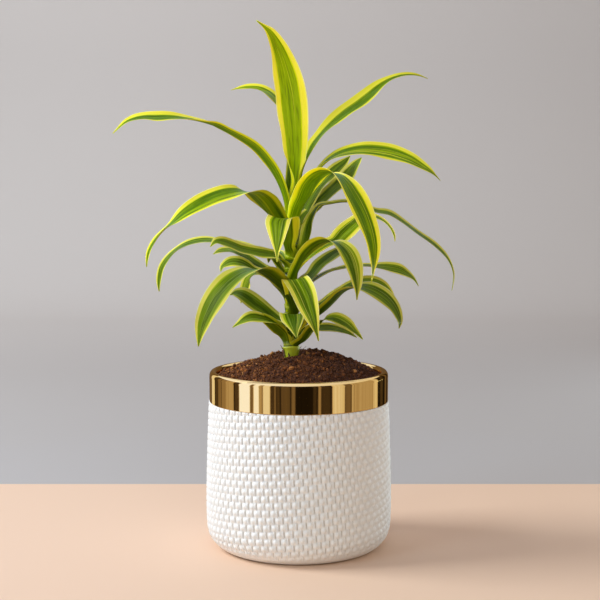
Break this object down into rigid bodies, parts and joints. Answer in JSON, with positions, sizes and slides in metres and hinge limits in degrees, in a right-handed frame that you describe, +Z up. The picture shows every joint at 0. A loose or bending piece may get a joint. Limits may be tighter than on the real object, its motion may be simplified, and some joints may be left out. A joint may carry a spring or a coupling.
{
  "type": "potted dracaena",
  "caption": "Potted dracaena with arching green leaves edged in yellow, in a round white ceramic pot with a woven relief and a shiny gold rim band, filled with dark soil",
  "frame": {"origin": "centre of the pot's flat underside, on the surface that it stands on", "axes": "+Z up along the pot's axis; -Y is the front that the picture shows; +X is to the right seen from the front"},
  "size_m": [0.2644, 0.1493, 0.4096],
  "materials": {
    "white_ceramic": "satin",
    "gold_lustre": "polished",
    "potting_soil": "matte",
    "green_cane": "satin",
    "young_leaf": "satin",
    "mature_leaf": "satin"
  },
  "bodies": {
    "root": {"pot": "white_ceramic", "gold_rim_band": "gold_lustre", "soil": "potting_soil", "cane": "green_cane", "leaf_top": "young_leaf", "leaf_back_left_high": "young_leaf", "leaf_right_upper": "young_leaf", "leaf_right_arch": "young_leaf", "leaf_left_long": "young_leaf", "leaf_right_drop": "young_leaf", "leaf_left_arch": "young_leaf", "leaf_right_behind": "mature_leaf", "leaf_back_high": "mature_leaf", "leaf_front_top": "mature_leaf", "leaf_right_thin": "mature_leaf", "leaf_back_mid_left": "mature_leaf", "leaf_left_mid": "mature_leaf", "leaf_left_thin": "mature_leaf", "leaf_right_fold": "mature_leaf", "leaf_right_mid": "mature_leaf", "leaf_back_right_mid": "mature_leaf", "leaf_left_mid_behind": "mature_leaf", "leaf_back_mid": "mature_leaf", "leaf_left_mid_low": "mature_leaf", "leaf_right_mid_behind": "mature_leaf", "leaf_front_drop": "mature_leaf", "leaf_right_long_low": "mature_leaf", "leaf_left_drop": "mature_leaf", "leaf_back_low_left": "mature_leaf", "leaf_right_low_behind": "mature_leaf", "leaf_left_low": "mature_leaf", "leaf_right_low": "mature_leaf", "leaf_back_low": "mature_leaf", "leaf_front_small": "mature_leaf", "leaf_left_small": "mature_leaf", "leaf_right_base_behind": "mature_leaf", "leaf_left_base": "mature_leaf", "leaf_right_base": "mature_leaf"}
  },
  "joints": []
}
